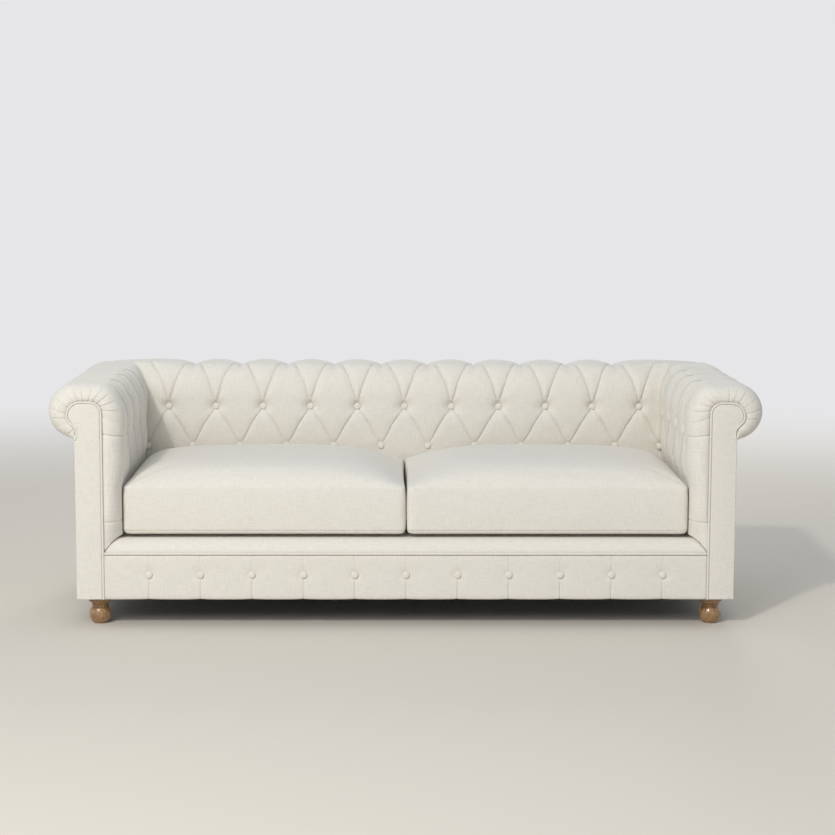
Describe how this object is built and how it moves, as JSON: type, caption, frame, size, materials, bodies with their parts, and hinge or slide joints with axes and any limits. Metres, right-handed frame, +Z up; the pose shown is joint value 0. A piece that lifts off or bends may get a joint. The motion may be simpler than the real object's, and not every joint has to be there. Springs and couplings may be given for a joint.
{
  "type": "chesterfield sofa",
  "caption": "Long sofa whose rolled arms and back are of one height and deep-buttoned in diamonds, with loose box cushions, a buttoned front border and turned wooden bun feet.",
  "frame": {"origin": "on the floor, under the middle of the sofa's outline", "axes": "+X to the right as seen from the front, +Y to the back, +Z up"},
  "size_m": [2.21, 0.93, 0.7549],
  "materials": {
    "linen": "woven linen-look cloth, matt",
    "seat_foam": "open-cell foam",
    "turned_wood": "satin lacquer, mid brown",
    "frame_wood": "planed, bare",
    "plywood": "bare ply",
    "webbing": "woven elastic strap",
    "dust_cloth": "black non-woven cloth",
    "zinc_steel": "zinc plated"
  },
  "bodies": {
    "sofa_body": {"back_buttons": "linen", "back_inner_board": "plywood", "back_pad": "linen", "back_roll_former": "plywood", "back_tack_rail": "frame_wood", "back_top_rail": "frame_wood", "back_uprights": "frame_wood", "border_buttons": "linen", "border_piping": "linen", "corner_blocks": "frame_wood", "crosswise_webbing": "webbing", "deck_pad": "linen", "dust_cover": "dust_cloth", "foot_bolts": "zinc_steel", "foot_inserts": "zinc_steel", "front_border": "linen", "front_left_foot": "turned_wood", "front_lip": "linen", "front_right_foot": "turned_wood", "front_seat_rail": "frame_wood", "left_arm_buttons": "linen", "left_arm_front_post": "frame_wood", "left_arm_inner_board": "plywood", "left_arm_pad": "linen", "left_arm_rear_post": "frame_wood", "left_arm_roll_former": "plywood", "left_arm_tack_rail": "frame_wood", "left_arm_top_rail": "frame_wood", "left_facing": "linen", "left_facing_piping": "linen", "left_outside_arm": "linen", "left_seat_rail": "frame_wood", "lengthwise_webbing": "webbing", "outside_back": "linen", "rear_left_foot": "turned_wood", "rear_right_foot": "turned_wood", "rear_seat_rail": "frame_wood", "right_arm_buttons": "linen", "right_arm_front_post": "frame_wood", "right_arm_inner_board": "plywood", "right_arm_pad": "linen", "right_arm_rear_post": "frame_wood", "right_arm_roll_former": "plywood", "right_arm_tack_rail": "frame_wood", "right_arm_top_rail": "frame_wood", "right_facing": "linen", "right_facing_piping": "linen", "right_outside_arm": "linen", "right_seat_rail": "frame_wood", "seat_cross_rails": "frame_wood"},
    "left_cushion": {"left_cushion_cover": "linen", "left_cushion_core": "seat_foam"},
    "right_cushion": {"right_cushion_cover": "linen", "right_cushion_core": "seat_foam"}
  },
  "joints": [
    {"name": "left_cushion_pull", "type": "slide", "parent": "sofa_body", "child": "left_cushion", "axis": [0, -1, 0], "range_m": [0, 0.72]},
    {"name": "right_cushion_pull", "type": "slide", "parent": "sofa_body", "child": "right_cushion", "axis": [0, -1, 0], "range_m": [0, 0.72]}
  ]
}
